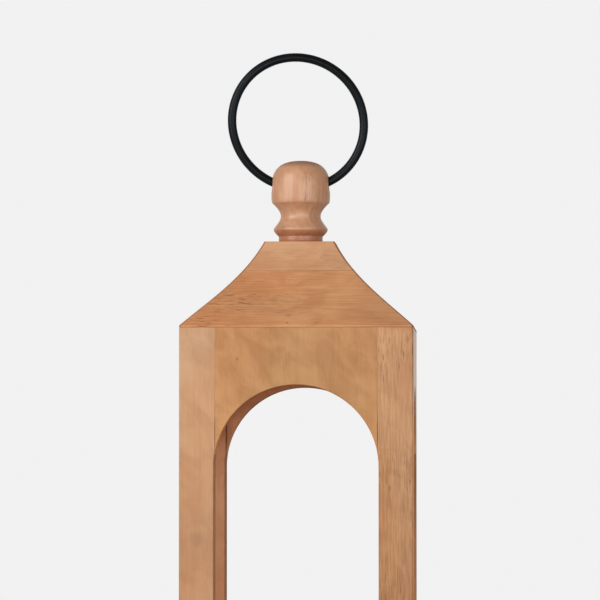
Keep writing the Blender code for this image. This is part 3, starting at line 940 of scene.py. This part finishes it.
def make_world():
    """A pale studio: the camera sees an even wall, and its light is brightest straight behind."""
    world = bpy.data.worlds.new("studio")
    bpy.context.scene.world = world
    world.use_nodes = True
    nodes, links = world.node_tree.nodes, world.node_tree.links
    nodes.clear()
    output = nodes.new("ShaderNodeOutputWorld")
    mix = nodes.new("ShaderNodeMixShader")
    path = nodes.new("ShaderNodeLightPath")
    wall = nodes.new("ShaderNodeBackground")
    light = nodes.new("ShaderNodeBackground")
    coords = nodes.new("ShaderNodeTexCoord")
    split = nodes.new("ShaderNodeSeparateXYZ")
    ramp = nodes.new("ShaderNodeMapRange")
    ramp.interpolation_type = "SMOOTHSTEP"
    wall.inputs["Color"].default_value = WALL_COLOUR
    light.inputs["Color"].default_value = SKY_COLOUR
    keys = ("From Min", "From Max", "To Min", "To Max")
    for key, number in zip(keys, (*SKY_SPAN, *SKY_STRENGTHS)):
        ramp.inputs[key].default_value = number
    links.new(coords.outputs["Generated"], split.inputs[0])
    links.new(split.outputs["Y"], ramp.inputs["Value"])
    links.new(ramp.outputs["Result"], light.inputs["Strength"])
    links.new(path.outputs["Is Camera Ray"], mix.inputs["Fac"])
    links.new(light.outputs[0], mix.inputs[1])
    links.new(wall.outputs[0], mix.inputs[2])
    links.new(mix.outputs[0], output.inputs["Surface"])


def add_area(name, azimuth, elevation, distance, size, watts):
    """A soft light towards the lantern. Azimuth 0 is straight in front, and + is to the right."""
    light = bpy.data.lights.new(name, "AREA")
    light.shape = "RECTANGLE"
    light.size, light.size_y = size
    light.energy = watts
    obj = bpy.data.objects.new(name, light)
    side, up = math.radians(azimuth), math.radians(elevation)
    out = Vector((math.sin(side) * math.cos(up), -math.cos(side) * math.cos(up), math.sin(up)))
    obj.location = Vector((0, 0, LIGHT_AIM_Z)) + out * distance
    obj.rotation_euler = out.to_track_quat("Z", "Y").to_euler()
    obj.visible_camera = False
    bpy.context.scene.collection.objects.link(obj)


def make_camera():
    """A long lens, almost square to the front, aimed a little up at the top of the lantern."""
    camera = bpy.data.cameras.new("camera")
    camera.lens = CAMERA_LENS
    camera.sensor_width = 36.0
    camera.clip_start = 0.5
    camera.clip_end = 60.0
    obj = bpy.data.objects.new("camera", camera)
    side, front = math.sin(CAMERA_TURN), -math.cos(CAMERA_TURN)
    eye = Vector((CAMERA_DISTANCE * side, CAMERA_DISTANCE * front, CAMERA_Z))
    obj.location = eye
    obj.rotation_euler = (CAMERA_AIM - eye).to_track_quat("-Z", "Y").to_euler()
    bpy.context.scene.collection.objects.link(obj)
    bpy.context.scene.camera = obj


# ---------------------------------------------------------------- the wood of each piece

# Painted shade: the finial goes darker and redder below its ridge, over the ridge's underside and
# the collar
FINIAL_UNDER_RIDGE_SHADE = (finial_low.z + 0.0122, finial_low.z + 0.0105, (0.86, 0.70, 0.62))

# Dark marks, as place, size and strength
EYE_KNOT = ((-0.0887, -HALF, 0.1995), 0.010, 0.22)
PANEL_FLECK = ((-0.0528, -HALF, EAVE_Z - 0.0285), 0.0016, 0.45)
PANEL_SHADE = ((0.066, -HALF, EAVE_Z - 0.02), 0.090, 0.10)
ROOF_SHADE = ((-0.070, -0.080, EAVE_Z + 0.020), 0.070, 0.09)
ROOF_CORNER_SHADE = ((0.078, -0.092, EAVE_Z + 0.012), 0.036, 0.14)
ROOF_KNOT = ((-0.0080, 0.002 - HALF, EAVE_Z + 0.0045), 0.0013, 0.85)

SATIN = 0.38  # roughness of the smoother boards
POLISHED = 0.30


def post_woods():
    # The posts' inner faces take painted shade
    both = {"inner_tints": POST_INNER_SHADE, "fade": POST_FADE}
    plain = {"bands": 0.06, "streaks": 0.10, "mottle": 0.45, "dashes": 0.10, **both}
    strong = {"bands": 0.0, "streaks": 0.42, "mottle": 0.50, "dashes": 0.7, **both}
    right = {"streak_scale": FINE_STREAKS, "rough": SATIN, **strong}
    return {
        "post_front_left": wood("post_wood_a", PINK_COLOURS, "Z", 1.3, spots=(EYE_KNOT,), **plain),
        "post_front_right": wood("post_wood_b", TAN_COLOURS, "Z", 4.7, **right),
        "post_back_right": wood("post_wood_c", PANEL_COLOURS, "Z", 8.1, rough=POLISHED, **both),
        "post_back_left": wood("post_wood_d", PINK_COLOURS, "Z", 2.9, **plain),
    }


def board_woods():
    """Each board has a seed of its own. The back panel is pinker, and the right one smoother."""
    woods = {}
    figure = {"bands": 0.03, "streaks": 0.07, "mottle": 0.60, "dashes": 0.10}
    for index, wall in enumerate(WALLS):
        # The panels' inner faces take painted light and shade
        look = {"inner_tints": PANEL_INNER_LIGHT_AND_SHADE, **figure}
        if wall == "front":
            look["spots"] = PANEL_FLECK, PANEL_SHADE
        if wall == "right":
            look["rough"] = POLISHED
        name, seed = "panel_wood_" + wall, 3.3 + index * 1.7
        colours = PINK_COLOURS if wall == "back" else PANEL_COLOURS
        woods["arch_panel_" + wall] = wood(name, colours, "Z", seed, **look)
        name, seed = "rail_wood_" + wall, 6.2 + index * 1.3
        grain = "X" if wall in ("front", "back") else "Y"
        # The rails' inner faces take painted shade
        rail = wood(name, PANEL_COLOURS, grain, seed, inner_tints=RAIL_INNER_SHADE)
        woods["bottom_rail_" + wall] = rail
    return woods


def roof_woods():
    wavy = {"bands": 0.0, "mottle": 0.50, "streak_scale": WAVY_STREAKS, "end_span": (0.05, 0.36)}
    lower = {"streaks": 0.30, "dashes": 0.85, "dash_x": (0.05, -0.05), **wavy}
    lower["spots"] = ROOF_KNOT, ROOF_SHADE, ROOF_CORNER_SHADE
    upper = {"streaks": 0.18, "dashes": 0.20, **wavy}
    return {
        "roof_lower_block": wood("roof_wood_a", ROOF_COLOURS, "X", 5.2, **lower),
        "roof_upper_block": wood("roof_wood_b", PALE_ROOF_COLOURS, "X", 7.8, **upper),
    }


def finial_wood():
    figure = {"bands": 0.10, "streaks": 0.20, "mottle": 0.45, "dashes": 0.60}
    figure["dash_x"] = (-0.003, 0.006)
    # Roughness and gloss of its polish, and painted shade under its ridge
    polish_and_shade = {"rough": 0.40, "gloss": 0.85, "end_span": (0.64, 1.0), "fade": FINIAL_UNDER_RIDGE_SHADE}
    return wood("finial_wood", FINIAL_COLOURS, "Z", 0.8, **figure, **polish_and_shade)


# ---------------------------------------------------------------- assembly


def stand_in(piece, node, material, body="lantern"):
    """The fine piece takes the plain CAD node's place."""
    piece.data.materials.clear()
    piece.data.materials.append(material)
    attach(piece, body)
    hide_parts(node)


def dress(node, material, edge=0.0):
    """A carried-over CAD node takes a finer material, and rounded edges if they are given."""
    obj = frame["nodes"][node]
    obj.data.materials.clear()
    obj.data.materials.append(material)
    if edge:
        bevel = obj.modifiers.new("Edges", "BEVEL")
        bevel.width = edge
        bevel.segments = EDGE_SEGMENTS
        bevel.limit_method = "ANGLE"
        bevel.angle_limit = EDGE_ANGLE
    soften(obj, CAD_SHARP)


woods = {
    **post_woods(),
    **board_woods(),
    **roof_woods(),
    "finial": finial_wood(),
    "base_board": wood("base_wood", PANEL_COLOURS, "X", 3.9),
}
pieces = {**make_posts(), **make_boards(), **make_roof(), **make_finial(), **make_base()}
for name, piece in pieces.items():
    bore_out(piece, name)
    soften(piece)
    stand_in(piece, name, woods[name])
stand_in(make_ring(), "ring_handle", black_steel(), "ring")

dowel_wood = wood("dowel_wood", BEECH_COLOURS, "Z", 1.9, dashes=0.1)
zinc, pad_felt = zinc_steel(), felt()
for name in DOWELS:
    dress(name, dowel_wood)
for name in (*SCREWS, "finial_rod"):
    dress(name, zinc)
for name in ("finial_nut", "finial_washer"):
    dress(name, zinc, STEEL_EDGE)
for corner in CORNERS:
    dress("foot_pad_" + corner, pad_felt, PAD_EDGE)

make_floor()
make_world()
for name, settings in LIGHTS.items():
    add_area(name, *settings)
make_camera()
bpy.context.scene.view_settings.view_transform = "Standard"
